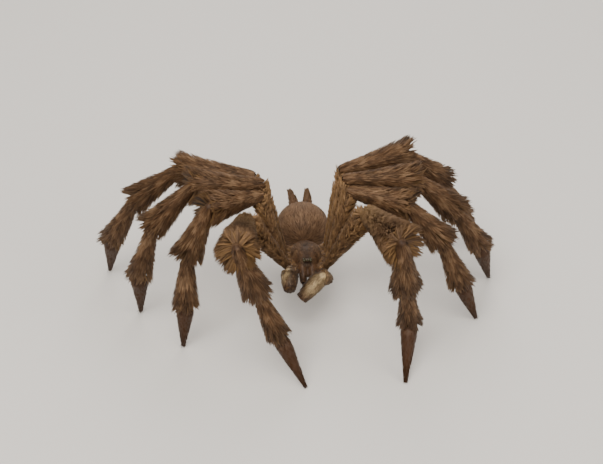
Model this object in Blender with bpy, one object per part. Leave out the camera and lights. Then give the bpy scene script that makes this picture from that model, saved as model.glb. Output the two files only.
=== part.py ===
"""A young long-legged ground spider standing on eight feet, as a life-size still model.

The spider faces -Y, its right side is -X, and the floor is Z = 0.
"""
import itertools
import math
import random
from collections import namedtuple

import bmesh
import bpy
from mathutils import Matrix, Vector

MM = 0.001

# Body, measured from the middle of the prosoma
BODY_HEIGHT = 14.4 * MM
STANCE_MIDDLE = Vector((-1.60 * MM, -7.80 * MM, 0))
JOINT_GAP = 0.3 * MM

CARAPACE_LENGTH = 12.6 * MM
CARAPACE_WIDTH = 9.6 * MM
CARAPACE_RISE = 3.4 * MM
CARAPACE_HEAD = 0.1
CARAPACE_BACK = 0.3
STERNUM_DROP = 2.2 * MM
FACE_Y = -5.7 * MM
WAIST_Y = 5.9 * MM
WAIST_RADIUS = 1.0 * MM
WAIST_DROP = 1.0 * MM

ABDOMEN_LENGTH = 16.6 * MM
ABDOMEN_WIDTH = 15.7 * MM
ABDOMEN_HEIGHT = 12.9 * MM
ABDOMEN_START_Y = 6.9 * MM
ABDOMEN_DROP = 0.4 * MM

SPINNERET_LENGTH = 4.2 * MM
SPINNERET_RADIUS = 1.6 * MM
SPINNERET_ANGLE = 147
SPINNERET_AROUND = 33
SPINNERET_BENDS = {"right": 1.1 * MM, "left": -0.3 * MM}
CHELICERA_WIDTH = 2.5 * MM
FANG_LENGTH = 3.8 * MM

# Legs. The root is where the coxa ends, and the lengths are femur to tarsus.
FOOT_RADIUS = 0.42 * MM
COXA_RADIUS = 1.25 * MM
TROCHANTER_RADIUS = 1.0 * MM

SEGMENT_NAMES = ("femur", "patella", "tibia", "metatarsus", "tarsus")

LegPair = namedtuple("LegPair", "root_x root_y lengths")
LEG_PAIRS = {
    "1": LegPair(5.2 * MM, -5.6 * MM, (29.5 * MM, 18.6 * MM, 15.0 * MM, 16.0 * MM, 18.0 * MM)),
    "2": LegPair(6.1 * MM, -2.7 * MM, (27.5 * MM, 17.0 * MM, 14.5 * MM, 16.5 * MM, 15.5 * MM)),
    "3": LegPair(6.2 * MM, 0.6 * MM, (29.7 * MM, 19.2 * MM, 16.2 * MM, 18.6 * MM, 17.4 * MM)),
    "4": LegPair(6.2 * MM, 3.9 * MM, (30.3 * MM, 20.0 * MM, 16.8 * MM, 19.2 * MM, 18.0 * MM)),
}

# Each leg's stance in degrees: the way it points forward of straight out, the
# sideways tilt of its plane, how both change past the patella, and the rise of
# its first four segments. The tarsus falls to the floor.
Stance = namedtuple("Stance", "forward tilt turn lean rises")
STANCES = {
    "r1": Stance(88, -26, 23, 9, (72, 15, -85, -76)),
    "r2": Stance(34, -6, -4, 3, (74, 11, -58, -82)),
    "r3": Stance(11, 2, 13, 7, (75, 8, -42, -76)),
    "r4": Stance(-11, 7, 24, 11, (72, 2, -38, -67)),
    "l1": Stance(69, -15, 37, 21, (66, 7, -95, -101)),
    "l2": Stance(24, -2, -8, 5, (76, -3, -48, -66)),
    "l3": Stance(2, 5, 13, 11, (79, -1, -45, -62)),
    "l4": Stance(-20, 7, 13, 1, (83, -1, -45, -62)),
}

# Each kind of leg segment: half its depth where it starts, where it is widest
# and where it ends, how far along it is widest, and its breadth over its depth.
Form = namedtuple("Form", "start widest end widest_at breadth")
FORMS = {
    "femur": Form(1.05 * MM, 2.0 * MM, 1.6 * MM, 0.55, 0.55),
    "front_femur": Form(1.05 * MM, 2.3 * MM, 1.8 * MM, 0.5, 0.95),
    "patella": Form(1.7 * MM, 3.0 * MM, 2.2 * MM, 0.86, 0.85),
    "tibia": Form(1.6 * MM, 2.7 * MM, 2.0 * MM, 0.86, 0.9),
    "metatarsus": Form(1.5 * MM, 2.45 * MM, 2.1 * MM, 0.86, 0.9),
    "tarsus": Form(1.9 * MM, 2.8 * MM, FOOT_RADIUS, 0.2, 0.92),
}

# Rows of long flat locks on a segment's coat: how far along it they are rooted
# and their tips reach, how far the tips stand from its middle line, how many
# locks go round, the turn of the first one from the top in degrees, and width
Row = namedtuple("Row", "root tip reach count first width")
ROWS = {
    "femur": (
        Row(0.36, 0.62, 2.6 * MM, 2, 0, 1.5 * MM),
        Row(0.6, 0.9, 2.8 * MM, 2, 0, 1.5 * MM),
    ),
    "front_femur": (
        Row(0.28, 0.6, 3.1 * MM, 3, 60, 2.4 * MM),
        Row(0.58, 0.95, 4.3 * MM, 5, 0, 2.8 * MM),
    ),
    "patella": (
        Row(0.3, 0.6, 3.5 * MM, 3, 60, 2.8 * MM),
        Row(0.46, 0.82, 4.7 * MM, 3, 0, 3.2 * MM),
        Row(0.62, 1.08, 5.9 * MM, 7, 0, 2.9 * MM),
    ),
    "tibia": (
        Row(0.34, 0.72, 3.7 * MM, 4, 45, 2.6 * MM),
        Row(0.54, 1.1, 5.3 * MM, 6, 0, 2.9 * MM),
    ),
    "metatarsus": (
        Row(0.34, 0.7, 3.2 * MM, 3, 60, 2.6 * MM),
        Row(0.54, 1.08, 4.4 * MM, 6, 0, 2.6 * MM),
    ),
    "tarsus": (),
}

# A lock: its thickness, how deep its root is sunk, how far it bows outward, its
# share of the full width at each place along it, and how its sizes vary
LOCK_THICKNESS = 0.72 * MM
LOCK_ROOT_DEPTH = 0.5 * MM
LOCK_BOW = 0.14
LOCK_WIDTHS = ((0, 0.6), (0.4, 1.0), (0.75, 0.66), (1, 0.03))
TURN_SPREAD = (-0.1, 0.1)
REACH_SPREAD = (0.88, 1.06)
TIP_SPREAD = (-0.05, 0.03)
WIDTH_SPREAD = (0.88, 1.1)

# Where a lock has no room it is turned aside by these degrees and drawn in by
# these shares, down to a low reach
DODGES = (0, 14, -14, 26, -26)
SHRINK_STEPS = (0, 0.25, 0.5, 0.75, 1)
LOW_REACH = 0.6 * MM
SHRINK_BACK = 0.2
COAT_START = 0.3
PAST_FRINGE = 0.07
SEED = 13

LEG_SIDES = 8
LIMB_ROOT_SIDES = 8

# Palps: the points from the end of the coxa to the tip, and the half thickness there
PALP_NAMES = ("femur", "tibia", "tarsus")
PALP_POINTS = {
    "right": ((-4.3, -7.0, 12.2), (-5.1, -9.4, 13.6), (-5.6, -11.2, 17.2), (-6.0, -16.8, 16.0)),
    "left": ((4.3, -7.0, 12.2), (6.0, -10.5, 13.8), (3.5, -12.9, 16.8), (-2.4, -15.8, 11.4)),
}
PALP_START = 0.95 * MM
PALP_THICK = 2.6 * MM

# Eyes, on one low mound at the front of the carapace: place from the mound's
# middle, to the side and back, and radius
MOUND_PLACE = Vector((0, -4.9 * MM, 0))
MOUND_RADIUS = 1.3 * MM
EYES = (
    (0.32 * MM, -0.30 * MM, 0.34 * MM),
    (0.98 * MM, -0.55 * MM, 0.38 * MM),
    (0.72 * MM, 0.38 * MM, 0.26 * MM),
    (1.12 * MM, 0.28 * MM, 0.32 * MM),
)

COLOURS = {
    "brown_coat": ((0.115, 0.075, 0.048), 0.8),
    "taupe_coat": ((0.175, 0.125, 0.092), 0.8),
    "pale_coat": ((0.33, 0.26, 0.15), 0.75),
    "dark_foot": ((0.06, 0.032, 0.016), 0.45),
    "fang": ((0.02, 0.012, 0.01), 0.2),
    "eye": ((0.03, 0.026, 0.012), 0.1),
}

Segment = namedtuple("Segment", "name leg kind start end axis dorsal")


def clear_scene():
    """Remove whatever the file holds."""
    for thing in list(bpy.data.objects):
        bpy.data.objects.remove(thing)


def material(name):
    """The plain finish of one kind of surface."""
    finish = bpy.data.materials.get(name)
    if finish is None:
        colour, roughness = COLOURS[name]
        finish = bpy.data.materials.new(name)
        finish.use_nodes = True
        shader = finish.node_tree.nodes["Principled BSDF"]
        shader.inputs["Base Color"].default_value = (*colour, 1)
        shader.inputs["Roughness"].default_value = roughness
    return finish


def new_object(name, shape, finish):
    """Turn a bmesh into a smooth-shaded object."""
    bmesh.ops.recalc_face_normals(shape, faces=shape.faces)
    mesh = bpy.data.meshes.new(name)
    shape.to_mesh(mesh)
    shape.free()
    mesh.shade_smooth()
    mesh.materials.append(material(finish))
    piece = bpy.data.objects.new(name, mesh)
    bpy.context.scene.collection.objects.link(piece)
    return piece


def add_ring(shape, centre, axis, dorsal, depth, breadth, sides):
    """Add one closed ring of edges across an axis and return its vertices."""
    lateral = axis.cross(dorsal).normalized()
    turn = Matrix((lateral * breadth, dorsal.normalized() * depth, axis)).transposed()
    place = Matrix.Translation(centre) @ turn.to_4x4()
    made = bmesh.ops.create_circle(shape, segments=sides, radius=1, matrix=place)
    return made["verts"]


def ring_edges(ring):
    """The edges that join a ring's own vertices."""
    inside = set(ring)
    return [e for e in {e for v in ring for e in v.link_edges} if set(e.verts) <= inside]


def skin_rings(shape, rings, pointed=False):
    """Join rings into one closed skin, with a point in place of the last cap."""
    for near, far in zip(rings, rings[1:]):
        bmesh.ops.bridge_loops(shape, edges=ring_edges(near) + ring_edges(far))
    shape.faces.new(rings[0])
    if pointed:
        middle = sum((v.co for v in rings[-1]), Vector()) / len(rings[-1])
        bmesh.ops.pointmerge(shape, verts=rings[-1], merge_co=middle)
    else:
        shape.faces.new(rings[-1])


def slide_to_plane(ring, axis, point, normal):
    """Slide a ring's vertices along the axis until they lie in a plane."""
    for vertex in ring:
        vertex.co += axis * ((point - vertex.co).dot(normal) / axis.dot(normal))


def joint_normal(axis_before, axis_after):
    """The normal of the plane that halves a bend."""
    return (axis_before + axis_after).normalized()


def tube(name, finish, points, axes, dorsals, sizes, ends, sides):
    """A closed tube through points, its two end faces in the given planes."""
    shape = bmesh.new()
    rings = []
    for point, axis, dorsal, (depth, breadth) in zip(points, axes, dorsals, sizes):
        rings.append(add_ring(shape, point, axis, dorsal, depth, breadth, sides))
    for ring, axis, (point, normal) in ((rings[0], axes[0], ends[0]), (rings[-1], axes[-1], ends[1])):
        slide_to_plane(ring, axis, point, normal)
    skin_rings(shape, rings)
    return new_object(name, shape, finish)


def straight_tube(name, finish, start, end, dorsal, profile, normals, sides):
    """A tube along one line, with half a joint gap kept at each end."""
    axis = (end - start).normalized()
    points = [start.lerp(end, along) for along, _, _ in profile]
    sizes = [(depth, breadth) for _, depth, breadth in profile]
    near = start + normals[0] * JOINT_GAP / 2
    far = end - normals[1] * JOINT_GAP / 2
    count = len(profile)
    ends = ((near, normals[0]), (far, normals[1]))
    return tube(name, finish, points, [axis] * count, [dorsal] * count, sizes, ends, sides)


def union(base, others):
    """Fuse closed objects into the base, which keeps its largest closed surface."""
    group = bpy.data.collections.new("pieces to fuse")
    for other in others:
        group.objects.link(other)
    fuse = base.modifiers.new("fuse", "BOOLEAN")
    fuse.operation = "UNION"
    fuse.operand_type = "COLLECTION"
    fuse.collection = group
    bpy.context.view_layer.update()
    fused = bpy.data.meshes.new_from_object(base.evaluated_get(bpy.context.evaluated_depsgraph_get()))
    base.modifiers.clear()
    base.data = fused
    for other in others:
        bpy.data.objects.remove(other)
    bpy.data.collections.remove(group)
    keep_largest_surface(base.data)
    return base


def keep_largest_surface(mesh):
    """Drop all but the connected surface that has the most faces."""
    shape = bmesh.new()
    shape.from_mesh(mesh)
    islands = []
    waiting = set(shape.verts)
    while waiting:
        island = set()
        edge = [waiting.pop()]
        while edge:
            vertex = edge.pop()
            island.add(vertex)
            near = {e.other_vert(vertex) for e in vertex.link_edges} & waiting
            waiting -= near
            edge.extend(near)
        islands.append(island)
    islands.sort(key=len)
    loose = [v for island in islands[:-1] for v in island]
    bmesh.ops.delete(shape, geom=loose, context="VERTS")
    shape.to_mesh(mesh)
    shape.free()


def leg_plane(side, forward, tilt):
    """The outward and upward directions of the plane that a leg bends in."""
    forward, tilt = math.radians(forward), math.radians(tilt)
    out = Vector((side * math.cos(forward), -math.sin(forward), 0))
    across = out.cross(Vector((0, 0, 1)))
    up = Vector((0, 0, math.cos(tilt))) + across * math.sin(tilt) * side
    return out, up


def leg_segments(leg):
    """The five segments of a leg, from the trochanter to the foot."""
    side = -1 if leg[0] == "r" else 1
    pair, stance = LEG_PAIRS[leg[1]], STANCES[leg]
    root_plane = leg_plane(side, stance.forward, stance.tilt)
    outer_plane = leg_plane(side, stance.forward + stance.turn, stance.tilt + stance.lean)
    planes = (root_plane, root_plane, outer_plane, outer_plane, outer_plane)
    start = Vector((side * pair.root_x, pair.root_y, BODY_HEIGHT))
    segments = []
    for number, kind in enumerate(SEGMENT_NAMES):
        out, up = planes[number]
        length = pair.lengths[number]
        if kind == "tarsus":
            rise = -math.asin(min(1, start.z / (length * up.z)))
        else:
            rise = math.radians(stance.rises[number])
        axis = out * math.cos(rise) + up * math.sin(rise)
        dorsal = up * math.cos(rise) - out * math.sin(rise)
        end = start + axis * length
        segments.append(Segment(f"leg_{leg}_{kind}", leg, kind, start, end, axis, dorsal))
        start = end
    return segments


def coxa_axis(segment):
    """The way the coxa points where the femur leaves it."""
    return Vector((segment.start.x, segment.start.y * 0.5, abs(segment.start.x) * 0.35)).normalized()


def form_profile(form, length, end_lean):
    """Half depth and half breadth at the stations along a segment.

    The end face leans by half the joint's bend, so the widest station stays short of it.
    """
    widest_at = min(form.widest_at, 0.98 - form.widest * math.tan(end_lean) / length)
    middle_depth = (form.start + form.widest) / 2
    stations = (
        (0, form.start),
        (widest_at * 0.55, middle_depth),
        (widest_at, form.widest),
        (1, form.end),
    )
    return [(along, depth, depth * form.breadth) for along, depth in stations]


def form_name(segment):
    """The name of a segment's form; the front legs have wider femora."""
    if segment.kind == "femur" and segment.leg[1] == "1":
        return "front_femur"
    return segment.kind


def distance_to(segment, point):
    """How far a point is from a segment's middle line, and how far along it, also past its ends."""
    span = segment.end - segment.start
    along = (point - segment.start).dot(span) / span.length_squared
    return (point - segment.start - span * max(0, min(1, along))).length, along


def core_depth(form, along):
    """Half the depth of a segment's core at a point along it."""
    along = max(0, min(1, along))
    if along < form.widest_at:
        return form.start + (form.widest - form.start) * along / form.widest_at
    return form.widest + (form.end - form.widest) * (along - form.widest_at) / (1 - form.widest_at)


def coat_reach(segment, along):
    """How far a segment's coat may stand from its middle line."""
    core = core_depth(FORMS[form_name(segment)], along)
    rows = ROWS[form_name(segment)]
    if not rows or along < COAT_START or along > rows[-1].tip + PAST_FRINGE:
        return core
    return core + (rows[-1].reach - core) * min(1, (along - COAT_START) / (1 - COAT_START))


def lock_is_clear(segment, places, legs):
    """Whether a lock keeps off the other segments of its leg and on its own side of other legs."""
    for point, half_width in places:
        own = min(distance_to(other, point)[0] for other in legs[segment.leg])
        for leg, others in legs.items():
            for other in others:
                distance, along = distance_to(other, point)
                if leg != segment.leg and distance - own < 2 * half_width + JOINT_GAP:
                    return False
                if leg == segment.leg and other.kind != segment.kind:
                    if distance < coat_reach(other, along) + half_width + JOINT_GAP:
                        return False
    return True


def lock_middle_line(segment, row, angle, reach, tip):
    """The points of a lock's middle line, which rises from the coat and bends along its lie."""
    form = FORMS[form_name(segment)]
    lateral = segment.axis.cross(segment.dorsal)
    outward = segment.dorsal * math.cos(angle) + lateral * math.sin(angle) * form.breadth
    length = (segment.end - segment.start).length
    root_depth = core_depth(form, row.root)
    root = segment.start + segment.axis * length * row.root + outward * (root_depth - LOCK_ROOT_DEPTH)
    end = segment.start + segment.axis * length * tip + outward * reach
    bend = root.lerp(end, 0.5) + outward * LOCK_BOW * (reach - root_depth)
    points = []
    for along, _ in LOCK_WIDTHS:
        points.append(root.lerp(bend, along).lerp(bend.lerp(end, along), along))
    return points, outward.normalized()


def lock(segment, points, outward, width):
    """A flat, tapered lock of four sides that ends in a point."""
    shape = bmesh.new()
    across = segment.axis.cross(outward)
    rings = []
    for number, (point, (_, share)) in enumerate(zip(points, LOCK_WIDTHS)):
        before = points[max(0, number - 1)]
        after = points[min(len(points) - 1, number + 1)]
        way = (after - before).normalized()
        up = across.cross(way).normalized()
        thickness = LOCK_THICKNESS * min(1, share * 2)
        rings.append(add_ring(shape, point, way, up, thickness / 2, width / 2 * share, 4))
    skin_rings(shape, rings, pointed=True)
    return new_object("lock", shape, "brown_coat")


def grow_locks(segment, legs, chance):
    """Every lock of a segment that finds room, shorter where another part is near."""
    grown = []
    form = FORMS[form_name(segment)]
    for row in ROWS[form_name(segment)]:
        for number in range(row.count):
            angle = math.radians(row.first + 360 / row.count * (number + chance.uniform(*TURN_SPREAD)))
            reach = row.reach * chance.uniform(*REACH_SPREAD)
            tip = row.tip + chance.uniform(*TIP_SPREAD)
            width = row.width * chance.uniform(*WIDTH_SPREAD)
            lowest = core_depth(form, tip) + LOW_REACH
            for shrink, dodge in itertools.product(SHRINK_STEPS, DODGES):
                lower = reach + (lowest - reach) * shrink
                turn = angle + math.radians(dodge)
                points, outward = lock_middle_line(segment, row, turn, lower, tip - SHRINK_BACK * shrink)
                places = [(point, width / 2 * share) for point, (_, share) in zip(points, LOCK_WIDTHS)]
                if lock_is_clear(segment, places[1:], legs):
                    grown.append(lock(segment, points, outward, width))
                    break
    return grown


def build_leg(leg, legs, chance):
    """One leg: five closed segments that meet face to face, with their locks."""
    segments = legs[leg]
    axes = [coxa_axis(segments[0])] + [s.axis for s in segments]
    normals = [joint_normal(a, b) for a, b in zip(axes, axes[1:])]
    for number, segment in enumerate(segments):
        foot = segment.kind == "tarsus"
        finish = "dark_foot" if foot else "brown_coat"
        last_normal = Vector((0, 0, -1)) if foot else normals[number + 1]
        length = (segment.end - segment.start).length
        profile = form_profile(FORMS[form_name(segment)], length, segment.axis.angle(last_normal))
        piece = straight_tube(
            segment.name, finish, segment.start, segment.end, segment.dorsal, profile,
            (normals[number], last_normal), LEG_SIDES,
        )
        if foot:
            lower_to_floor(piece)
        locks = grow_locks(segment, legs, chance)
        if locks:
            union(piece, locks)


def lower_to_floor(piece):
    """Bring the foot's flat, which kept a joint's gap, down to the floor."""
    for vertex in piece.data.vertices:
        if vertex.co.z < JOINT_GAP:
            vertex.co.z = 0


def carapace_share(y):
    """How much of its full rise the carapace has at a place from -1 at the face to 1 at the waist."""
    return 1 + CARAPACE_HEAD * math.exp(-(((y + 0.4) / 0.35) ** 2)) - CARAPACE_BACK * max(0, y)


def carapace():
    """The domed shield over the prosoma with the sternum below, cut flat at the face and waist."""
    shape = bmesh.new()
    bmesh.ops.create_uvsphere(shape, u_segments=20, v_segments=10, radius=1)
    for vertex in shape.verts:
        x, y, z = vertex.co
        narrowing = 1 - 0.24 * max(0, -y) ** 2 - 0.1 * max(0, y) ** 2
        rise = CARAPACE_RISE * carapace_share(y) if z > 0 else STERNUM_DROP
        vertex.co = Vector((
            x * CARAPACE_WIDTH / 2 * narrowing,
            y * (1.25 - 0.25 * y * y) * CARAPACE_LENGTH / 2,
            BODY_HEIGHT + z * rise,
        ))
    for y, way in ((FACE_Y, -1), (WAIST_Y, 1)):
        everything = shape.verts[:] + shape.edges[:] + shape.faces[:]
        cut = bmesh.ops.bisect_plane(
            shape, geom=everything, plane_co=(0, y, 0), plane_no=(0, way, 0), clear_outer=True
        )
        rim = [e for e in cut["geom_cut"] if isinstance(e, bmesh.types.BMEdge)]
        bmesh.ops.contextual_create(shape, geom=rim)
    return new_object("prosoma", shape, "brown_coat")


def coxa(end, inward, radius, normal):
    """A short tube from inside the body out to where a limb starts."""
    inner = Vector((end.x * inward, end.y * 0.62, BODY_HEIGHT - STERNUM_DROP * 0.35))
    way = (end - inner).normalized()
    profile = ((0, COXA_RADIUS, COXA_RADIUS), (0.7, COXA_RADIUS, COXA_RADIUS), (1, radius, radius))
    dorsal = (Vector((0, 0, 1)) - way * way.z).normalized()
    return straight_tube("coxa", "brown_coat", inner, end, dorsal, profile, (way, normal), LIMB_ROOT_SIDES)


def palp_points(side):
    """The palp's joints as vectors in metres."""
    return [Vector(point) * MM for point in PALP_POINTS[side]]


def palp_axes(side):
    """The directions of the palp's coxa and then of its segments."""
    points = palp_points(side)
    first = Vector((points[0].x * 0.5, points[0].y * 0.5, 0)).normalized()
    return [first] + [(b - a).normalized() for a, b in zip(points, points[1:])]


def build_prosoma():
    """Carapace, sternum, coxae and trochanters as one closed piece."""
    base = carapace()
    stubs = []
    for leg in STANCES:
        femur = leg_segments(leg)[0]
        normal = joint_normal(coxa_axis(femur), femur.axis)
        stubs.append(coxa(femur.start, 0.3, TROCHANTER_RADIUS, normal))
    for side in PALP_POINTS:
        axes = palp_axes(side)
        stubs.append(coxa(palp_points(side)[0], 0.8, PALP_START, joint_normal(axes[0], axes[1])))
    union(base, stubs)


def build_palp(side):
    """One palp of three segments, its last one rounded off."""
    points, axes = palp_points(side), palp_axes(side)
    normals = [joint_normal(a, b) for a, b in zip(axes, axes[1:])] + [axes[-1]]
    up = Vector((0, 0, 1))
    profiles = {
        "femur": ((0, PALP_START), (0.5, 1.3 * MM), (1, 1.3 * MM)),
        "tibia": ((0, 1.3 * MM), (0.5, PALP_THICK * 0.9), (1, 1.8 * MM)),
        "tarsus": (
            (0, 1.8 * MM), (0.35, PALP_THICK), (0.7, PALP_THICK * 0.84), (0.93, 1.2 * MM), (1, 0.6 * MM)
        ),
    }
    for number, kind in enumerate(PALP_NAMES):
        axis = axes[number + 1]
        dorsal = (up - axis * axis.dot(up)).normalized()
        profile = [(along, half, half) for along, half in profiles[kind]]
        straight_tube(
            f"palp_{side}_{kind}", "pale_coat", points[number], points[number + 1], dorsal, profile,
            normals[number:number + 2], 12,
        )


def abdomen_section(angle):
    """The centre, half height and half width of the egg at an angle from its front."""
    swell = math.sin(angle) ** 0.85 * (1 + 0.06 * math.cos(angle))
    y = ABDOMEN_START_Y + ABDOMEN_LENGTH / 2 * (1 - math.cos(angle))
    centre = Vector((0, y, BODY_HEIGHT - ABDOMEN_DROP))
    return centre, ABDOMEN_HEIGHT / 2 * swell, ABDOMEN_WIDTH / 2 * swell


def abdomen_point(angle, around):
    """A point on the egg, at an angle from its front and an angle around from its top."""
    centre, depth, breadth = abdomen_section(angle)
    return centre + Vector((breadth * math.sin(around), 0, depth * math.cos(around)))


def build_abdomen():
    """The egg-shaped abdomen, with the narrow waist that joins it to the prosoma."""
    steps = 11
    axis, up = Vector((0, 1, 0)), Vector((0, 0, 1))
    shape = bmesh.new()
    start_z = BODY_HEIGHT - WAIST_DROP
    rings = []
    for y in (WAIST_Y + JOINT_GAP, ABDOMEN_START_Y + 0.25 * MM):
        rings.append(add_ring(shape, Vector((0, y, start_z)), axis, up, WAIST_RADIUS, WAIST_RADIUS, 20))
    for step in range(1, steps):
        centre, depth, breadth = abdomen_section(math.pi * step / steps)
        rings.append(add_ring(shape, centre, axis, up, depth, breadth, 20))
    tail = Vector((0, ABDOMEN_START_Y + ABDOMEN_LENGTH, BODY_HEIGHT - ABDOMEN_DROP))
    rings.append(add_ring(shape, tail, axis, up, 0.5 * MM, 0.5 * MM, 20))
    skin_rings(shape, rings)
    new_object("abdomen", shape, "taupe_coat")


def build_spinneret(side, sign):
    """A tapering spinneret that rises behind the abdomen and bends outward."""
    steps = 5
    angle, around = math.radians(SPINNERET_ANGLE), sign * math.radians(SPINNERET_AROUND)
    foot = abdomen_point(angle, around)
    backward = abdomen_point(angle + 0.05, around) - foot
    sideways = abdomen_point(angle, around + 0.05 * sign) - foot
    normal = sideways.cross(backward).normalized() * sign
    start = foot + normal * JOINT_GAP * 1.2
    aim = Vector((sign * 0.05, 0.72, 0.69)).normalized()
    points, axes, sizes = [], [], []
    for step in range(steps + 1):
        along = step / steps
        bend = Vector((sign * SPINNERET_BENDS[side], 0, 0.5 * MM)) * along
        points.append(start + aim * SPINNERET_LENGTH * along + bend * along)
        axes.append((aim + bend * 2 / SPINNERET_LENGTH).normalized())
        radius = SPINNERET_RADIUS * (1 - along ** 1.6 * 0.75)
        sizes.append((radius, radius))
    across = Vector((1, 0, 0))
    ends = ((start, normal), (points[-1], axes[-1]))
    tube(f"spinneret_{side}", "taupe_coat", points, axes, [across] * len(points), sizes, ends, 10)


def build_mouthparts(side, sign):
    """A chelicera set on the face, and the curved fang folded under it."""
    half = CHELICERA_WIDTH / 2
    middle_x = sign * (half + JOINT_GAP / 2)
    base = Vector((middle_x, FACE_Y - JOINT_GAP / 2, BODY_HEIGHT - 0.1 * MM))
    tip = Vector((middle_x, FACE_Y - 3.7 * MM, BODY_HEIGHT - 2.7 * MM))
    face, fang_way = Vector((0, -1, 0)), Vector((0, 0.16, -0.99))
    profile = ((0, 1.75 * MM, half * 0.94), (0.5, 1.7 * MM, half), (0.85, 1.35 * MM, half * 0.92),
               (1, 0.95 * MM, half * 0.75))
    axis = (tip - base).normalized()
    dorsal = (Vector((0, 0, 1)) - axis * axis.z).normalized()
    straight_tube(f"chelicera_{side}", "brown_coat", base, tip, dorsal, profile,
                  (face, joint_normal(axis, fang_way)), 12)
    build_fang(side, tip, joint_normal(axis, fang_way), fang_way)


def build_fang(side, start, normal, aim):
    """A smooth curved fang that narrows to its tip."""
    steps = 5
    back = Vector((0, 1, 0))
    points, axes, sizes = [], [], []
    for step in range(steps + 1):
        along = step / steps
        points.append(start + aim * FANG_LENGTH * along + back * 1.7 * MM * along * along)
        axes.append((aim + back * 0.8 * along).normalized())
        radius = 0.62 * MM * (1 - along) + 0.26 * MM * along
        sizes.append((radius, radius))
    across = Vector((1, 0, 0))
    ends = ((start + normal * JOINT_GAP / 2, normal), (points[-1], axes[-1]))
    tube(f"fang_{side}", "fang", points, axes, [across] * len(points), sizes, ends, 8)


def carapace_top(y):
    """The height of the carapace's ridge at a distance back from the prosoma's middle."""
    low, high = -1.0, 1.0
    for _ in range(40):
        guess = (low + high) / 2
        if guess * (1.25 - 0.25 * guess * guess) * CARAPACE_LENGTH / 2 < y:
            low = guess
        else:
            high = guess
    return BODY_HEIGHT + CARAPACE_RISE * carapace_share(low) * math.sqrt(1 - low * low)


def build_eyes():
    """Eight eyes in two rows on one low mound."""
    slope = (carapace_top(MOUND_PLACE.y + MM) - carapace_top(MOUND_PLACE.y - MM)) / (2 * MM)
    tilt = Matrix.Rotation(math.atan(slope), 4, "X")
    top = Vector((0, MOUND_PLACE.y, carapace_top(MOUND_PLACE.y)))
    normal = tilt @ Vector((0, 0, 1))
    place = Matrix.Translation(top + normal * (JOINT_GAP + 0.1 * MM)) @ tilt
    shape = bmesh.new()
    bmesh.ops.create_uvsphere(shape, u_segments=14, v_segments=6, radius=1)
    squash = Matrix.Diagonal((MOUND_RADIUS * 1.12, MOUND_RADIUS * 0.8, MOUND_RADIUS * 0.42, 1))
    bmesh.ops.transform(shape, matrix=squash, verts=shape.verts)
    everything = shape.verts[:] + shape.edges[:] + shape.faces[:]
    cut = bmesh.ops.bisect_plane(
        shape, geom=everything, plane_co=(0, 0, 0), plane_no=(0, 0, -1), clear_outer=True
    )
    rim = [e for e in cut["geom_cut"] if isinstance(e, bmesh.types.BMEdge)]
    bmesh.ops.contextual_create(shape, geom=rim)
    bmesh.ops.transform(shape, matrix=place, verts=shape.verts)
    mound = new_object("eyes", shape, "eye")
    balls = []
    for sign in (-1, 1):
        for aside, back, radius in EYES:
            ball = bmesh.new()
            bmesh.ops.create_icosphere(ball, subdivisions=1, radius=radius)
            level = MOUND_RADIUS * 0.42 * math.sqrt(max(0.1, 1 - (aside / MOUND_RADIUS / 1.12) ** 2)) * 0.8
            centre = place @ Vector((sign * aside, back, level))
            bmesh.ops.translate(ball, verts=ball.verts, vec=centre)
            balls.append(new_object("eye", ball, "eye"))
    union(mound, balls)


def stand_on_middle():
    """Hang every piece from one empty whose origin is under the middle of the stance."""
    spider = bpy.data.objects.new("spider", None)
    bpy.context.scene.collection.objects.link(spider)
    spider.location = -STANCE_MIDDLE
    for piece in bpy.context.scene.objects:
        if piece.type == "MESH":
            piece.parent = spider


def main():
    clear_scene()
    build_prosoma()
    build_eyes()
    build_abdomen()
    for side, sign in (("right", -1), ("left", 1)):
        build_palp(side)
        build_mouthparts(side, sign)
        build_spinneret(side, sign)
    legs = {leg: leg_segments(leg) for leg in STANCES}
    chance = random.Random(SEED)
    for leg in legs:
        build_leg(leg, legs, chance)
    stand_on_middle()


main()
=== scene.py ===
"""Skin, coat, eyes, fangs, claws and studio for a young long-legged ground spider.

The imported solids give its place: it faces -Y, its right side is -X and the floor
is Z = 0. The panel in the 3D view's sidebar builds one group of pieces at a time.
"""
import math
from collections import namedtuple

import bmesh
import bpy
import numpy as np
from mathutils import Matrix, Vector, noise


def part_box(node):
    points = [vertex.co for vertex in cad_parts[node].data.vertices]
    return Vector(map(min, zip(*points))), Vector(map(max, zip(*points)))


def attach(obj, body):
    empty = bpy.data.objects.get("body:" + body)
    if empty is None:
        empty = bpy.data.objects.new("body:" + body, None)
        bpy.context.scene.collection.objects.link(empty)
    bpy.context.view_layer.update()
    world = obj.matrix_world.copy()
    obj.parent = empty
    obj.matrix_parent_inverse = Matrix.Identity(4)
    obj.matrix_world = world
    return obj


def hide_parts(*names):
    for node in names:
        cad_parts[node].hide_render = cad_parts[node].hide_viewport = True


bl_info = {
    "name": "Ground spiderling",
    "version": (1, 0, 0),
    "blender": (4, 5, 0),
    "location": "View3D > Sidebar > Spiderling",
    "description": "Builds the skin, coat and small hard parts of a young ground spider",
    "category": "Add Mesh",
}

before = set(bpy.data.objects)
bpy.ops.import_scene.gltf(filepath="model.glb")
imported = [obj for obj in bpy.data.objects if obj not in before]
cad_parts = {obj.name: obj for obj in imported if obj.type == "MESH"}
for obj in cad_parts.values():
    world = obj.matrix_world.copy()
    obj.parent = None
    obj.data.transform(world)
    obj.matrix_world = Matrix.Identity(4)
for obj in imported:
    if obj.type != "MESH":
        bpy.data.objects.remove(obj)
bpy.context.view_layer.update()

MM = 0.001
UP = Vector((0, 0, 1))

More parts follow.
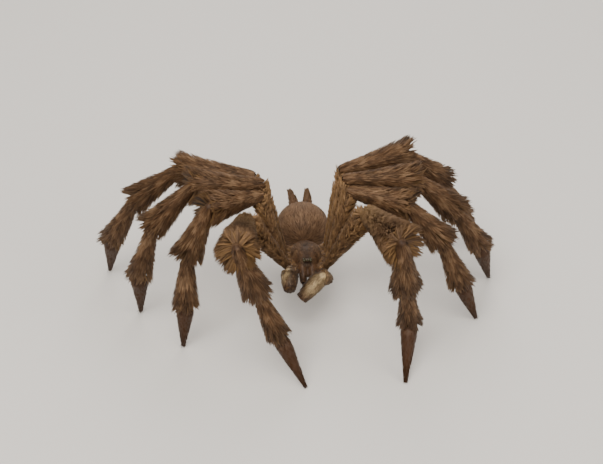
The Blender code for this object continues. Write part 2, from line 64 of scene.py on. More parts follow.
# The stance, in the same named sizes as the solids
BODY_HEIGHT = 14.4 * MM
STANCE_MIDDLE = Vector((-1.60 * MM, -7.80 * MM, 0))
BODY_REACH = 6.2 * MM
FACE_Y = -5.7 * MM
WAIST_Y = 5.9 * MM
CARAPACE_LENGTH = 12.6 * MM
CARAPACE_WIDTH = 9.6 * MM
CARAPACE_RISE = 3.4 * MM
CARAPACE_HEAD = 0.1
CARAPACE_BACK = 0.3
STERNUM_DROP = 2.2 * MM
ABDOMEN_LENGTH = 16.6 * MM
ABDOMEN_WIDTH = 15.7 * MM
ABDOMEN_HEIGHT = 12.9 * MM
ABDOMEN_START_Y = 6.9 * MM
ABDOMEN_DROP = 0.4 * MM

# The skin and the roots of the hair lie inside the solids' surface, and the hair
# ends above the floor
CARAPACE_SHRINK = 0.955
ABDOMEN_INSET = 0.5 * MM
HAIR_INSET = 0.45 * MM
FLOOR_CLEARANCE = 0.02 * MM
TIP_CLEARANCE = 0.05 * MM

# Where a coxa starts in the body, as shares of the place where its limb starts,
# and its thickness along it
LEG_COXA_START = 0.3
PALP_COXA_START = 0.8
COXA_START_Y = 0.62
COXA_FORM = ((0, 1.05), (0.35, 1.15), (0.62, 1.12), (0.72, 0.92), (0.86, 1.0), (1, 0.9))
JOINT_SWELL = 1.04

SEGMENT_NAMES = ("femur", "patella", "tibia", "metatarsus", "tarsus")

# Each pair of legs in millimetres: where it leaves the body and its segments' lengths
LegPair = namedtuple("LegPair", "root_x root_y lengths")
LEG_PAIRS = {
    "1": LegPair(5.2, -5.6, (29.5, 18.6, 15.0, 16.0, 18.0)),
    "2": LegPair(6.1, -2.7, (27.5, 17.0, 14.5, 16.5, 15.5)),
    "3": LegPair(6.2, 0.6, (29.7, 19.2, 16.2, 18.6, 17.4)),
    "4": LegPair(6.2, 3.9, (30.3, 20.0, 16.8, 19.2, 18.0)),
}

# Each leg in degrees: its turn forward, its tilt, how its outer part turns and
# leans on from there, and the rise of the first four segments
Stance = namedtuple("Stance", "forward tilt turn lean rises")
STANCES = {
    "r1": Stance(88, -26, 23, 9, (72, 15, -85, -76)),
    "r2": Stance(34, -6, -4, 3, (74, 11, -58, -82)),
    "r3": Stance(11, 2, 13, 7, (75, 8, -42, -76)),
    "r4": Stance(-11, 7, 24, 11, (72, 2, -38, -67)),
    "l1": Stance(69, -15, 37, 21, (66, 7, -95, -101)),
    "l2": Stance(24, -2, -8, 5, (76, -3, -48, -66)),
    "l3": Stance(2, 5, 13, 11, (79, -1, -45, -62)),
    "l4": Stance(-20, 7, 13, 1, (83, -1, -45, -62)),
}

# The joints of the palps in millimetres
PALP_POINTS = {
    "right": ((-4.3, -7.0, 12.2), (-5.1, -9.4, 13.6), (-5.6, -11.2, 17.2), (-6.0, -16.8, 16.0)),
    "left": ((4.3, -7.0, 12.2), (6.0, -10.5, 13.8), (3.5, -12.9, 16.8), (-2.4, -15.8, 11.4)),
}
SPINNERET_BENDS = {-1: 1.1 * MM, 1: -0.3 * MM}
SIDES = (("right", -1), ("left", 1))

# Each kind of limb segment under its coat: half its depth in millimetres at
# places along it, and its breadth over its depth
SKIN_FORMS = {
    "femur": (((0, 0.75), (0.5, 1.55), (0.86, 1.6), (1, 1.3)), 0.6),
    "front_femur": (((0, 0.75), (0.6, 1.7), (0.86, 1.7), (1, 1.3)), 0.95),
    "patella": (((0, 1.3), (0.5, 1.8), (0.86, 2.2), (1, 1.6)), 0.85),
    "tibia": (((0, 1.2), (0.5, 1.6), (0.86, 1.9), (1, 1.4)), 0.9),
    "metatarsus": (((0, 1.1), (0.5, 1.4), (0.86, 1.7), (1, 1.3)), 0.9),
    "tarsus": (((0, 1.6), (0.2, 2.65), (0.6, 1.5), (0.87, 0.7), (0.985, 0.36)), 0.92),
    "palp_femur": (((0, 0.85), (0.5, 1.15), (1, 1.2)), 1.0),
    "palp_tibia": (((0, 1.2), (0.5, 2.1), (1, 1.7)), 1.0),
    "palp_tarsus": (((0, 1.7), (0.35, 2.35), (0.7, 1.95), (0.9, 1.2), (0.97, 0.6)), 1.0),
    "chelicera": (((0, 1.5), (0.5, 1.55), (0.85, 1.2), (0.98, 0.75)), 0.74),
}
SKIN_FORMS["front_patella"] = SKIN_FORMS["patella"]

# The coat of each kind: how far it stands from the middle line at the start and
# at the far fringe in millimetres, its breadth over its depth, the length of its
# hairs in millimetres, how far past the joint the fringe reaches as a share of
# the segment, and its numbers of tufts and of clumps
Coat = namedtuple("Coat", "start flare breadth hair overhang tufts clumps")
COATS = {
    "femur": Coat(1.0, 3.2, 0.66, 2.6, 0.03, 1400, 20),
    "front_femur": Coat(1.1, 4.5, 0.97, 3.2, -0.03, 2000, 20),
    "patella": Coat(2.1, 5.9, 0.9, 4.8, 0.12, 2500, 26),
    "front_patella": Coat(3.0, 6.9, 0.95, 4.8, 0.1, 3400, 16),
    "tibia": Coat(2.1, 5.4, 0.92, 4.2, 0.13, 1900, 22),
    "metatarsus": Coat(1.9, 4.5, 0.92, 3.9, 0.11, 1600, 20),
    "tarsus": Coat(0, 0, 0.92, 1.3, 0.0, 500, 0),
    "palp_femur": Coat(1.25, 1.6, 1, 1.1, 0.02, 300, 0),
    "palp_tibia": Coat(1.9, 2.8, 1, 1.5, 0.04, 800, 9),
    "palp_tarsus": Coat(3.0, 1.9, 1, 1.6, 0.04, 1300, 0),
    "chelicera": Coat(1.6, 1.25, 0.74, 0.9, 0.03, 500, 0),
}

# Tufts of the short coats, at a fullness of 1
ABDOMEN_TUFTS = 11000
SPINNERET_TUFTS = 420
PROSOMA_TUFTS = 3600
COXA_TUFTS = 170

# The rings of a tuft: where along it they are and their share of its width
TUFT_RINGS = {3: ((0.0, 0.4, 0.75), (0.55, 1.0, 0.62)), 2: ((0.0, 0.5), (0.7, 1.0))}
CELL_SIZE = 0.0014

# How many light and dark bands go along a segment
BANDS = {"femur": 3.6, "patella": 3.2, "tibia": 2.3, "metatarsus": 1.6}

# The eyes of one side in millimetres from the middle of the mound: aside, back
# and up, and their share of the largest radius
EYES = ((0.32, -0.46, 0.06, 0.9), (0.98, -0.4, -0.2, 1.0),
        (0.70, 0.34, 0.1, 0.68), (1.12, 0.24, -0.14, 0.8))

# The lamps: name, place, size and strength
LAMPS = (
    ("key", (-0.12, -0.22, 0.5), 0.35, 2.6),
    ("fill", (0.4, -0.25, 0.3), 0.4, 0.9),
    ("back", (0.05, 0.45, 0.4), 0.4, 1.3),
)
LAMP_COLOUR = (1.0, 0.95, 0.88)
LAMP_AIM = Vector((0, 0, 0.02))
SKY_COLOUR = (1.0, 0.96, 0.92, 1)

# What a short tuft on a surface needs, and the directions of a limb segment
Spot = namedtuple("Spot", "point normal lie colour cell length")
Limb = namedtuple("Limb", "leg kind start end axis dorsal lateral length")


class SpiderBodySettings(bpy.types.PropertyGroup):
    """Sizes of the skin and the small hard parts."""
    voxel: bpy.props.FloatProperty(
        name="Skin voxel", description="Grid size that fuses the skin",
        default=0.36 * MM, min=0.1 * MM, unit="LENGTH", precision=5)
    eye_radius: bpy.props.FloatProperty(
        name="Eye radius", description="Radius of the largest eye",
        default=0.36 * MM, min=0.1 * MM, unit="LENGTH", precision=5)
    fang_length: bpy.props.FloatProperty(
        name="Fang length", description="Length of a fang outside the chelicera",
        default=3.8 * MM, min=1 * MM, unit="LENGTH", precision=5)
    claw_length: bpy.props.FloatProperty(
        name="Claw length", description="Length of one of the paired claws",
        default=1.1 * MM, min=0.2 * MM, unit="LENGTH", precision=5)
    fang_colour: bpy.props.FloatVectorProperty(
        name="Fang colour", description="Colour of fangs and claws",
        default=(0.022, 0.011, 0.008), size=3, subtype="COLOR", min=0, max=1)
    eye_colour: bpy.props.FloatVectorProperty(
        name="Eye colour", description="Colour of the eyes",
        default=(0.05, 0.042, 0.015), size=3, subtype="COLOR", min=0, max=1)


class SpiderCoatSettings(bpy.types.PropertyGroup):
    """Sizes and colours of the coat."""
    fullness: bpy.props.FloatProperty(
        name="Fullness", description="Share of the full count of tufts",
        default=1.0, min=0.05, max=1.5, subtype="FACTOR")
    hair_width: bpy.props.FloatProperty(
        name="Tuft width", description="Width of a long tuft",
        default=0.38 * MM, min=0.05 * MM, unit="LENGTH", precision=5)
    seed: bpy.props.IntProperty(
        name="Seed", description="Seed of every random choice", default=7, min=0)
    dark: bpy.props.FloatVectorProperty(
        name="Dark brown", description="The coat's dark patches",
        default=(0.042, 0.0188, 0.0076), size=3, subtype="COLOR", min=0, max=1)
    middle: bpy.props.FloatVectorProperty(
        name="Brown", description="The coat's main colour",
        default=(0.114, 0.056, 0.0255), size=3, subtype="COLOR", min=0, max=1)
    light: bpy.props.FloatVectorProperty(
        name="Light tan", description="The coat's pale streaks",
        default=(0.285, 0.175, 0.095), size=3, subtype="COLOR", min=0, max=1)
    inner: bpy.props.FloatVectorProperty(
        name="Yellow tan", description="The inner side of the fringes",
        default=(0.300, 0.165, 0.060), size=3, subtype="COLOR", min=0, max=1)
    taupe: bpy.props.FloatVectorProperty(
        name="Taupe", description="The abdomen's coat",
        default=(0.185, 0.104, 0.056), size=3, subtype="COLOR", min=0, max=1)
    cream: bpy.props.FloatVectorProperty(
        name="Cream", description="The palps' pale coat",
        default=(0.520, 0.385, 0.205), size=3, subtype="COLOR", min=0, max=1)
    foot: bpy.props.FloatVectorProperty(
        name="Dark foot", description="The smooth dark tarsi",
        default=(0.053, 0.0195, 0.0045), size=3, subtype="COLOR", min=0, max=1)


class SpiderStageSettings(bpy.types.PropertyGroup):
    """The camera's place and the light."""
    elevation: bpy.props.FloatProperty(
        name="Elevation", description="Height of the view above the floor's plane",
        default=math.radians(38), subtype="ANGLE")
    turn: bpy.props.FloatProperty(
        name="Turn", description="Turn of the view round the spider",
        default=math.radians(4), subtype="ANGLE")
    distance: bpy.props.FloatProperty(
        name="Distance", description="From the camera to the body",
        default=352.5 * MM, unit="LENGTH", precision=4)
    lens: bpy.props.FloatProperty(
        name="Lens", description="Focal length in millimetres", default=70.15)
    floor_colour: bpy.props.FloatVectorProperty(
        name="Floor", description="Colour of the plain floor",
        default=(0.72, 0.70, 0.67), size=3, subtype="COLOR", min=0, max=1)
    light: bpy.props.FloatProperty(
        name="Light", description="Strength of the main soft light", default=1.0, min=0)


def in_frame(point):
    """A point of the spider's own frame, in metres, moved to the solids' frame."""
    return Vector(point) - STANCE_MIDDLE


def bell(value, middle, width):
    """A bell curve of height 1 round its middle."""
    return math.exp(-(((value - middle) / width) ** 2))


# Limbs

def leg_plane(side, forward, tilt):
    """The outward and upward directions of the plane that a leg bends in."""
    forward, tilt = math.radians(forward), math.radians(tilt)
    out = Vector((side * math.cos(forward), -math.sin(forward), 0))
    across = out.cross(UP)
    up = Vector((0, 0, math.cos(tilt))) + across * math.sin(tilt) * side
    return out, up


def form_name(segment):
    """The name of a segment's form; the first legs have their own femora and patellae."""
    if segment.kind in ("femur", "patella") and segment.leg[1] == "1":
        return f"front_{segment.kind}"
    return segment.kind


def limb(leg, kind, start, end, dorsal):
    """A limb segment with its own directions."""
    axis = (end - start).normalized()
    dorsal = (dorsal - axis * axis.dot(dorsal)).normalized()
    return Limb(leg, kind, start, end, axis, dorsal, axis.cross(dorsal), (end - start).length)


def leg_segments(leg):
    """The five segments of a leg, from the trochanter to the foot."""
    side = -1 if leg[0] == "r" else 1
    pair, stance = LEG_PAIRS[leg[1]], STANCES[leg]
    root_plane = leg_plane(side, stance.forward, stance.tilt)
    outer_plane = leg_plane(side, stance.forward + stance.turn, stance.tilt + stance.lean)
    planes = (root_plane, root_plane, outer_plane, outer_plane, outer_plane)
    start = in_frame((side * pair.root_x * MM, pair.root_y * MM, BODY_HEIGHT))
    segments = []
    for number, kind in enumerate(SEGMENT_NAMES):
        out, up = planes[number]
        length = pair.lengths[number] * MM
        if kind == "tarsus":
            rise = -math.asin(min(1, start.z / (length * up.z)))
        else:
            rise = math.radians(stance.rises[number])
        end = start + (out * math.cos(rise) + up * math.sin(rise)) * length
        segments.append(limb(leg, kind, start, end, up * math.cos(rise) - out * math.sin(rise)))
        start = end
    return segments


def palp_segments(side):
    """The three segments of a palp."""
    points = [in_frame(Vector(point) * MM) for point in PALP_POINTS[side]]
    names = ("palp_femur", "palp_tibia", "palp_tarsus")
    return [limb(side, kind, a, b, UP) for kind, a, b in zip(names, points, points[1:])]


def chelicera_limb(sign):
    """The middle line of one chelicera."""
    x = sign * 1.4 * MM
    start = in_frame((x, FACE_Y + 0.6 * MM, BODY_HEIGHT - 0.1 * MM))
    end = in_frame((x, FACE_Y - 3.55 * MM, BODY_HEIGHT - 2.6 * MM))
    return limb("chelicera", "chelicera", start, end, UP)


def coxa_root(start, inward):
    """The point inside the body where the coxa of a limb begins."""
    place = start + STANCE_MIDDLE
    return in_frame((place.x * inward, place.y * COXA_START_Y, BODY_HEIGHT - STERNUM_DROP * 0.35))


def abdomen_section(angle):
    """The centre, half height and half width of the egg at an angle from its front."""
    swell = math.sin(angle) ** 0.85 * (1 + 0.06 * math.cos(angle))
    y = ABDOMEN_START_Y + ABDOMEN_LENGTH / 2 * (1 - math.cos(angle))
    centre = in_frame((0, y, BODY_HEIGHT - ABDOMEN_DROP))
    return centre, ABDOMEN_HEIGHT / 2 * swell, ABDOMEN_WIDTH / 2 * swell


def abdomen_point(angle, around, inset):
    """A point on the egg, at an angle from its front and an angle around from its top."""
    centre, depth, breadth = abdomen_section(angle)
    return centre + Vector((
        max(0, breadth - inset) * math.sin(around), 0, max(0, depth - inset) * math.cos(around)))


def carapace_point(x, y, z):
    """A point of the unit ball taken to the carapace and sternum."""
    narrowing = 1 - 0.24 * max(0, -y) ** 2 - 0.1 * max(0, y) ** 2
    share = 1 + CARAPACE_HEAD * bell(y, -0.4, 0.35) - CARAPACE_BACK * max(0, y)
    rise = CARAPACE_RISE * share if z > 0 else STERNUM_DROP
    return in_frame((
        x * CARAPACE_WIDTH / 2 * narrowing * CARAPACE_SHRINK,
        y * (1.25 - 0.25 * y * y) * CARAPACE_LENGTH / 2 * CARAPACE_SHRINK,
        BODY_HEIGHT + z * rise * CARAPACE_SHRINK,
    ))


def spinneret_points(sign):
    """Points and radii along one of the two long spinnerets."""
    angle, around = math.radians(147), sign * math.radians(33)
    start = abdomen_point(angle, around, 0.6 * MM)
    aim = Vector((sign * 0.05, 0.72, 0.69)).normalized()
    points = []
    for step in range(13):
        along = step / 12
        bend = Vector((sign * SPINNERET_BENDS[sign], 0, 0.5 * MM)) * along ** 2
        ringing = 1 - 0.09 * max(0, math.cos(along * 6 * math.pi)) ** 4
        radius = 1.5 * MM * (1 - along ** 1.6 * 0.74) * ringing
        points.append((start + aim * 4.6 * MM * along + bend, radius))
    return points


# Markings, with painted light and painted shade, shared by skin and coat

def mottle(point, scale, seed=0.0):
    """Smooth noise from 0 to 1 at a point."""
    return 0.5 + 0.5 * noise.noise(point * scale + Vector((seed, seed * 1.7, seed * 2.3)))


def mix(first, second, share):
    """A colour between two colours."""
    share = max(0.0, min(1.0, share))
    return tuple(a + (b - a) * share for a, b in zip(first, second))


def limb_colour(coat, segment, along, around, point):
    """The colour of a limb at a place along and around it, with painted shade on the palps and
    painted light on the first patellae.
    """
    kind = segment.kind
    below = max(0.0, -math.cos(around))
    local = point - segment.axis * segment.axis.dot(point) * 0.68
    patch = mottle(local, 520) * 0.3 + mottle(local, 1550, 4) * 0.7
    blotch = max(-0.5, min(0.5, (patch - 0.5) * 2.9))
    if kind == "tarsus":
        return mix(coat.foot, coat.dark, 0.3 + 0.5 * blotch)
    if kind == "chelicera":
        ridge = 0.5 + 0.5 * math.cos(around * 2)
        return mix(coat.dark, coat.middle, 0.25 + 0.7 * blotch + 0.7 * ridge * (1 - along))
    if kind.startswith("palp"):
        aside = math.sin(around + 0.55) if segment.leg == "left" else -math.sin(around - 0.45)
        pale = mix(coat.middle, coat.cream, 0.93 + 1.3 * blotch)
        if kind != "palp_tarsus":
            pale = mix(pale, coat.middle, 0.7)
        else:
            pale = mix(pale, mix(coat.middle, coat.dark, 0.4), (along - 0.35) * 2.1)
            if segment.leg == "right":
                pale = mix(pale, coat.middle, 0.1)
        # Painted shade: each palp is darkened on its underside and along one flank, and a little
        # along the other flank, so that a pale band stays between them.
        depth = 1.15 if segment.leg == "left" else 1.4
        shadow = min(0.94, 0.3 * below + depth * max(0.0, aside))
        return mix(pale, coat.dark, shadow + 0.3 * max(0.0, -aside) ** 3)
    band = 0.5 + 0.5 * math.cos(2 * math.pi * (along * BANDS[kind] + 1.2 * mottle(local, 170, 2)))
    tone = 0.3 * band + blotch + 0.27
    colour = mix(coat.dark, coat.middle, 0.1 + tone * 1.5)
    colour = mix(colour, coat.light, (tone - 0.5) * 1.3)
    if kind == "femur":
        edge = max(0.0, math.cos(around)) ** 6
        spots = 1.1 * max(0.0, blotch)
        colour = mix(colour, mix(coat.light, coat.inner, 0.5), 0.26 + 0.7 * edge + spots)
    # Partly the first patellae's own pale tan coat, partly painted light: they are made paler on
    # top and most near the knee, to lift them out of the shadow they lie in.
    if kind == "patella" and segment.leg[1] == "1":
        near = max(0.0, 1 - along / 0.6)
        warm = mix(coat.inner, coat.cream, 0.25)
        pale = mix(mix(coat.middle, coat.light, 0.65 + 0.5 * near), warm, 0.5 * near)
        spots = 0.9 * max(0.0, -blotch)
        colour = mix(colour, pale, 0.76 * (1 - below) + 0.25 * near - spots)
    return mix(colour, coat.inner, below * max(0.0, along - 0.5) * 1.5)


def abdomen_colour(coat, angle, around, point):
    """The colour of the abdomen: darker at the front, paler in streaks, and a little paler on top
    as painted light.
    """
    local = Vector((point.x, point.y * 0.3, point.z * 0.35))
    patch = mottle(local, 700) * 0.4 + mottle(local, 2100, 3) * 0.6
    blotch = max(-0.6, min(0.6, (patch - 0.5) * 3.2))
    # Painted light: the top of the abdomen is made a little paler, as if lit from above.
    painted_top_light = max(0.0, math.cos(around)) * min(1.0, angle / 1.3)
    colour = mix(coat.dark, coat.taupe, 0.82 + 0.62 * blotch + 0.03 * painted_top_light)
    front = bell(angle, 0.5, 0.3)
    colour = mix(colour, coat.dark, 0.24 * front)
    rim = bell(angle, 0.98, 0.14) * max(0.0, 0.5 + 1.2 * blotch)
    return mix(colour, coat.light, 0.4 * rim)


def prosoma_colour(coat, point):
    """The colour of the carapace: a dark middle stripe, lighter sides and a pale rim."""
    place = point + STANCE_MIDDLE
    x, y, z = place.x / MM, place.y / MM, (place.z - BODY_HEIGHT) / MM
    patch = mottle(point, 900) * 0.5 + mottle(point, 2200, 5) * 0.5
    if z < 0.0:
        return mix(coat.dark, coat.middle, 0.2 + patch * 0.5)
    colour = mix(coat.dark, coat.middle, 0.4 + 2.6 * (patch - 0.47))
    stripe = bell(x, 0, 0.9 + 0.1 * abs(y))
    rays = 0.5 + 0.5 * math.cos(12 * math.atan2(x, y - 1.5))
    flank = max(0.0, min(1.0, abs(x) / 2.6 - 0.25))
    colour = mix(colour, coat.light, 0.34 * flank * (1 - rays))
    colour = mix(colour, coat.dark, 0.85 * stripe + 0.45 * rays)
    rim = max(0.0, min(1.0, 1.3 - z)) * max(0.0, min(1.0, abs(x) - 1.4))
    return mix(colour, mix(coat.light, coat.inner, 0.5), 0.9 * rim)


# Materials

def set_inputs(node, values):
    """Set inputs of a node by their names."""
    for name, value in values.items():
        node.inputs[name].default_value = value


def material(name, roughness, coat_weight=0.0, sheen=0.0, colour=None, gloss=0.3):
    """A finish in one colour or in the mesh's markings with their painted light and shade, broken
    up by noise and bump.
    """
    finish = bpy.data.materials.new(name)
    finish.use_nodes = True
    nodes, links = finish.node_tree.nodes, finish.node_tree.links
    shader = nodes["Principled BSDF"]
    set_inputs(shader, {
        "Roughness": roughness, "Specular IOR Level": gloss, "Coat Weight": coat_weight,
        "Coat Roughness": 0.08, "Sheen Weight": sheen, "Sheen Roughness": 0.45})
    place = nodes.new("ShaderNodeTexCoord")
    grain = nodes.new("ShaderNodeTexNoise")
    set_inputs(grain, {"Scale": 900, "Detail": 3})
    links.new(place.outputs["Object"], grain.inputs["Vector"])
    shade = nodes.new("ShaderNodeMix")
    shade.data_type = "RGBA"
    shade.blend_type = "MULTIPLY"
    shade.inputs["Factor"].default_value = 0.25
    ramp = nodes.new("ShaderNodeValToRGB")
    ramp.color_ramp.elements[0].position = 0.3
    ramp.color_ramp.elements[0].color = (0.35, 0.33, 0.3, 1)
    ramp.color_ramp.elements[1].position = 0.7
    ramp.color_ramp.elements[1].color = (1, 1, 1, 1)
    links.new(grain.outputs["Fac"], ramp.inputs["Fac"])
    links.new(ramp.outputs["Color"], shade.inputs["B"])
    if colour is None:
        marking_and_painted_light = nodes.new("ShaderNodeAttribute")
        marking_and_painted_light.attribute_name = "marking_and_painted_light"
        links.new(marking_and_painted_light.outputs["Color"], shade.inputs["A"])
    else:
        shade.inputs["A"].default_value = (*colour, 1)
    links.new(shade.outputs["Result"], shader.inputs["Base Color"])
    bump = nodes.new("ShaderNodeBump")
    set_inputs(bump, {"Strength": 0.35, "Distance": 0.05 * MM})
    links.new(grain.outputs["Fac"], bump.inputs["Height"])
    links.new(bump.outputs["Normal"], shader.inputs["Normal"])
    return finish


def link(name, mesh, finish):
    """Make a piece of a mesh that rides on the body."""
    mesh.materials.clear()
    mesh.materials.append(finish)
    piece = bpy.data.objects.new(name, mesh)
    bpy.context.scene.collection.objects.link(piece)
    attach(piece, "root")
    return piece


# Skin

def add_ring(shape, centre, axis, dorsal, depth, breadth, sides):
    """Add one closed ring of edges across an axis and return its vertices."""
    lateral = axis.cross(dorsal).normalized()
    turn = Matrix((lateral * breadth, dorsal.normalized() * depth, axis)).transposed()
    place = Matrix.Translation(centre) @ turn.to_4x4()
    return bmesh.ops.create_circle(shape, segments=sides, radius=1, matrix=place)["verts"]


def ring_edges(ring):
    """The edges that join a ring's own vertices."""
    inside = set(ring)
    return [e for e in {e for v in ring for e in v.link_edges} if set(e.verts) <= inside]


def add_tube(shape, points, sides=12):
    """Add a closed tube through places: centre, axis, dorsal, half depth, half breadth."""
    rings = [add_ring(shape, *place, sides) for place in points]
    for near, far in zip(rings, rings[1:]):
        bmesh.ops.bridge_loops(shape, edges=ring_edges(near) + ring_edges(far))
    shape.faces.new(rings[0])
    shape.faces.new(rings[-1])


def form_at(profile, along):
    """The value of a profile of places and values at a place along it."""
    places, values = zip(*profile)
    return float(np.interp(along, places, values))


def add_limb(shape, segment, profile, breadth, steps=10):
    """Add one limb segment's flesh, with a rounded joint at its start."""
    last = profile[-1][0]
    points = []
    for step in range(steps + 1):
        along = last * step / steps
        depth = form_at(profile, along) * MM
        centre = segment.start.lerp(segment.end, along)
        points.append((centre, segment.axis, segment.dorsal, depth, depth * breadth))
    add_tube(shape, points)
    joint = profile[0][1] * MM * JOINT_SWELL
    place = Matrix.Translation(segment.start) @ Matrix.Diagonal((joint, joint, joint, 1))
    bmesh.ops.create_icosphere(shape, subdivisions=2, radius=1, matrix=place)


def add_body(shape):
    """Add the prosoma, the waist and the abdomen."""
    ball = bmesh.ops.create_uvsphere(shape, u_segments=48, v_segments=32, radius=1)["verts"]
    for vertex in ball:
        x, y, z = vertex.co
        vertex.co = carapace_point(x, y, z)
        place = vertex.co + STANCE_MIDDLE
        if z > 0:
            aside, back = place.x / (0.35 * MM), (place.y - 1.6 * MM) / (0.8 * MM)
            pit = math.exp(-(aside ** 2) - back ** 2)
            rays = math.cos(14 * math.atan2(place.x, place.y - 1.5 * MM)) * bell(z, 0.6, 0.3)
            vertex.co.z -= 0.55 * MM * pit + 0.07 * MM * rays
    axis = Vector((0, 1, 0))
    waist = [(in_frame((0, y * MM, BODY_HEIGHT - 1.0 * MM)), axis, UP, 0.95 * MM, 0.95 * MM)
             for y in (5.0, 6.0, 7.0, 8.0)]
    add_tube(shape, waist)
    egg = []
    for step in range(1, 28):
        centre, *halves = abdomen_section(math.pi * step / 28)
        egg.append((centre, axis, UP, *(max(0.2 * MM, half - ABDOMEN_INSET) for half in halves)))
    add_tube(shape, egg, 36)
    for _, sign in SIDES:
        points = spinneret_points(sign)
        way = (points[-1][0] - points[0][0]).normalized()
        aside = Vector((1, 0, 0))
        add_tube(shape, [(centre, way, aside, radius, radius) for centre, radius in points])


def add_coxa(shape, end, inward, radius):
    """Add a coxa and trochanter from inside the body out to where a limb starts."""
    inner = coxa_root(end, inward)
    axis = (end - inner).normalized()
    dorsal = (UP - axis * axis.dot(UP)).normalized()
    add_tube(shape, [(inner.lerp(end, along), axis, dorsal, half * radius, half * radius)
                     for along, half in COXA_FORM])


def add_markings_and_painted_light(mesh, colours):
    """Give each vertex of a mesh its colour: its markings with their painted light and shade."""
    painted = np.ones((len(mesh.vertices), 4))
    painted[:, :3] = colours
    layer = mesh.color_attributes.new("marking_and_painted_light", "FLOAT_COLOR", "POINT")
    layer.data.foreach_set("color", painted.ravel())


def paint(mesh, places, coat):
    """Give each vertex of the skin the marking of the part that it belongs to, with its painted
    light and shade.
    """
    points = np.array([v.co[:] for v in mesh.vertices])
    best = np.full(len(points), 1e9)
    owner = np.zeros(len(points), dtype=int)
    for number, segment in enumerate(places):
        start, axis = np.array(segment.start), np.array(segment.axis)
        along = np.clip((points - start) @ axis, 0, segment.length)
        distance = np.linalg.norm(points - start - along[:, None] * axis, axis=1)
        near = distance < best
        best[near], owner[near] = distance[near], number
    colours = np.zeros((len(points), 3))
    for number, vertex in enumerate(mesh.vertices):
        place = vertex.co + STANCE_MIDDLE
        segment = places[owner[number]]
        from_body = abs(place.x) < BODY_REACH and place.z < BODY_HEIGHT + 9 * MM
        if place.y > WAIST_Y + 0.4 * MM and from_body and abs(place.x) < ABDOMEN_WIDTH / 2:
            share = min(1, max(-1, 1 - (place.y - ABDOMEN_START_Y) / (ABDOMEN_LENGTH / 2)))
            around = math.atan2(place.x, place.z - BODY_HEIGHT + ABDOMEN_DROP)
            colour = abdomen_colour(coat, math.acos(share), around, vertex.co)
        elif best[number] > (1.9 if segment.kind in ("femur", "palp_femur") else 2.4) * MM:
            colour = prosoma_colour(coat, vertex.co)
        else:
            offset = vertex.co - segment.start
            along = offset.dot(segment.axis) / segment.length
            around = math.atan2(offset.dot(segment.lateral), offset.dot(segment.dorsal))
            colour = limb_colour(coat, segment, along, around, vertex.co)
            # Painted shade: the skin under the long clumped coats is made darker, as it lies in the
            # shade of the hair.
            if COATS[segment.kind].clumps:
                colour = mix(colour, coat.dark, 0.6)
        colours[number] = colour
    add_markings_and_painted_light(mesh, colours)


class SPIDER_OT_skin(bpy.types.Operator):
    """Fuse body, limbs and mouthparts into one skin"""
    bl_idname = "spider.skin"
    bl_label = "Skin"

    def execute(self, context):
        settings = context.scene.spider_body
        shape = bmesh.new()
        add_body(shape)
        limbs = []
        for leg in STANCES:
            segments = leg_segments(leg)
            add_coxa(shape, segments[0].start, LEG_COXA_START, 1.05 * MM)
            for segment in segments:
                add_limb(shape, segment, *SKIN_FORMS[form_name(segment)])
            limbs.extend(segments)
        for side, sign in SIDES:
            segments = palp_segments(side)
            add_coxa(shape, segments[0].start, PALP_COXA_START, 0.9 * MM)
            segments.append(chelicera_limb(sign))
            for segment in segments:
                add_limb(shape, segment, *SKIN_FORMS[segment.kind])
            limbs.extend(segments)
        bmesh.ops.recalc_face_normals(shape, faces=shape.faces)
        rough = bpy.data.meshes.new("skin parts")
        shape.to_mesh(rough)
        shape.free()
        whole = bpy.data.objects.new("skin parts", rough)
        context.scene.collection.objects.link(whole)
        remesh = whole.modifiers.new("fuse", "REMESH")
        remesh.mode = "VOXEL"
        remesh.voxel_size = settings.voxel
        smooth = whole.modifiers.new("even", "SMOOTH")
        smooth.factor = 0.5
        smooth.iterations = 3
        context.view_layer.update()
        evaluated = whole.evaluated_get(context.evaluated_depsgraph_get())
        fused = bpy.data.meshes.new_from_object(evaluated)
        bpy.data.objects.remove(whole)
        bpy.data.meshes.remove(rough)
        fused.name = "skin"
        fused.shade_smooth()
        paint(fused, limbs, context.scene.spider_coat)
        finish = material("mottled hide", 0.55, sheen=0.05)
        piece = link("skin", fused, finish)
        flesh = [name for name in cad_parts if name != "eyes" and not name.startswith("fang")]
        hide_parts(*flesh)
        return {"FINISHED"}


# Coat

def unit(rows):
    """Directions at a length of 1."""
    return rows / np.linalg.norm(rows, axis=1, keepdims=True)


def square_to(rows, axes):
    """Directions turned square to their axes, at a length of 1."""
    return unit(rows - axes * np.sum(rows * axes, axis=1, keepdims=True))


